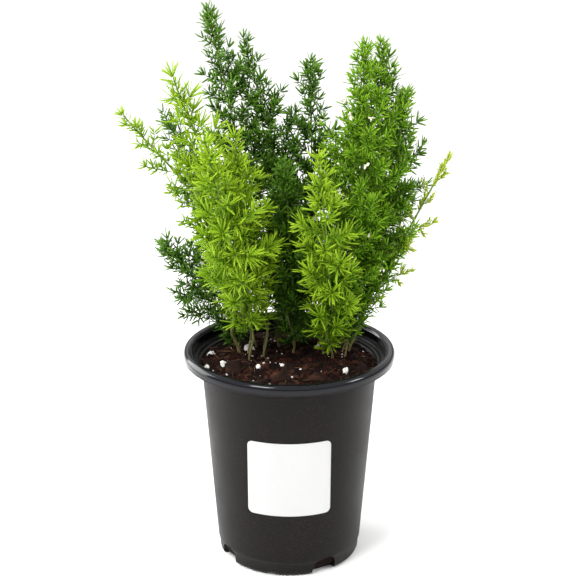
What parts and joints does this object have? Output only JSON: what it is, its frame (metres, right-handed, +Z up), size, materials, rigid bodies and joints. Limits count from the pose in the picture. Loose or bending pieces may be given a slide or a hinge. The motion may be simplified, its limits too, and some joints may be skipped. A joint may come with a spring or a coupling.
{
  "type": "potted foxtail fern",
  "caption": "Potted foxtail fern: upright plumes of fine soft needles on slim stems, rising from bark mix in a round tapered nursery pot with a rolled rim and a blank label.",
  "frame": {"origin": "centre of the pot's flat underside, on the surface it stands on", "axes": "+Z up out of the pot, -Y towards the labelled front, +X to the right seen from the front"},
  "size_m": [0.2406, 0.1857, 0.4128],
  "materials": {
    "pot_plastic": "satin",
    "label_film": "satin",
    "potting_mix": "matte",
    "root_wood": "matte",
    "fleshy_root": "matte",
    "stem": "satin",
    "needles_deep": "satin",
    "needles_mid": "satin",
    "needles_bright": "satin",
    "needles_young": "satin",
    "perlite": "matte",
    "bark": "matte"
  },
  "bodies": {
    "root": {"nursery_pot": "pot_plastic", "blank_label": "label_film", "potting_mix": "potting_mix", "root_crown": "root_wood", "fleshy_root_1": "fleshy_root", "fleshy_root_2": "fleshy_root", "fleshy_root_3": "fleshy_root", "fleshy_root_4": "fleshy_root", "stem_back_left_tall": "stem", "foliage_back_left_tall": "needles_deep", "stem_back_left_inner": "stem", "foliage_back_left_inner": "needles_deep", "stem_back_centre": "stem", "foliage_back_centre": "needles_deep", "stem_right_inner": "stem", "foliage_right_inner": "needles_mid", "stem_right_tall": "stem", "foliage_right_tall": "needles_deep", "stem_right_edge": "stem", "foliage_right_edge": "needles_mid", "stem_front_right": "stem", "foliage_front_right": "needles_bright", "stem_far_right_young": "stem", "foliage_far_right_young": "needles_young", "stem_left_front_tall": "stem", "foliage_left_front_tall": "needles_bright", "stem_far_left_young": "stem", "foliage_far_left_young": "needles_bright", "stem_left_low": "stem", "foliage_left_low": "needles_deep", "stem_left_rear": "stem", "foliage_left_rear": "needles_deep", "stem_front_left": "stem", "foliage_front_left": "needles_bright", "stem_front_centre": "stem", "foliage_front_centre": "needles_bright", "stem_right_low": "stem", "foliage_right_low": "needles_mid", "stem_back_right": "stem", "foliage_back_right": "needles_mid", "stem_back_low": "stem", "foliage_back_low": "needles_mid", "stem_heart": "stem", "foliage_heart": "needles_deep", "perlite_1": "perlite", "perlite_2": "perlite", "perlite_3": "perlite", "perlite_4": "perlite", "perlite_5": "perlite", "perlite_6": "perlite", "perlite_7": "perlite", "bark_chip_1": "bark", "bark_chip_2": "bark", "bark_chip_3": "bark", "bark_chip_4": "bark", "bark_chip_5": "bark", "bark_chip_6": "bark"}
  },
  "joints": []
}
